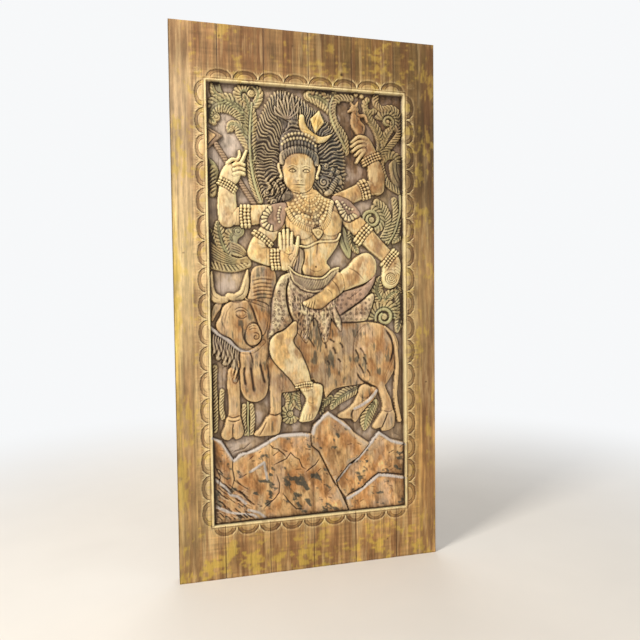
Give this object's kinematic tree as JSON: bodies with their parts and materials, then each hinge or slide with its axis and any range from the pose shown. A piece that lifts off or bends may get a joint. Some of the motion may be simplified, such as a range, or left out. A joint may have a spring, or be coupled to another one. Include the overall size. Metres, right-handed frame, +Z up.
{
  "type": "carved temple door",
  "caption": "Tall upright plank door leaf with a four-armed figure on a bull carved in relief inside a scalloped border.",
  "frame": {"origin": "centre of the bounding box in plan, on the bottom edge of the leaf", "axes": "+Z up along the planks, +X to the right seen from the carved face, +Y from the carved face towards the battened back"},
  "size_m": [1.016, 0.07, 2.032],
  "materials": {
    "carved_wood": "worn paint and wax over oiled hardwood",
    "batten_wood": "dry oiled hardwood",
    "joint_wood": "bare hardwood"
  },
  "bodies": {
    "root": {"plank_1": "carved_wood", "plank_2": "carved_wood", "plank_3": "carved_wood", "plank_4": "carved_wood", "plank_5": "carved_wood", "plank_6": "carved_wood", "loose_tongue_1": "joint_wood", "loose_tongue_2": "joint_wood", "loose_tongue_3": "joint_wood", "loose_tongue_4": "joint_wood", "loose_tongue_5": "joint_wood", "batten_bottom": "batten_wood", "batten_middle": "batten_wood", "batten_top": "batten_wood", "peg_bottom": "joint_wood", "peg_middle": "joint_wood", "peg_top": "joint_wood"}
  },
  "joints": []
}
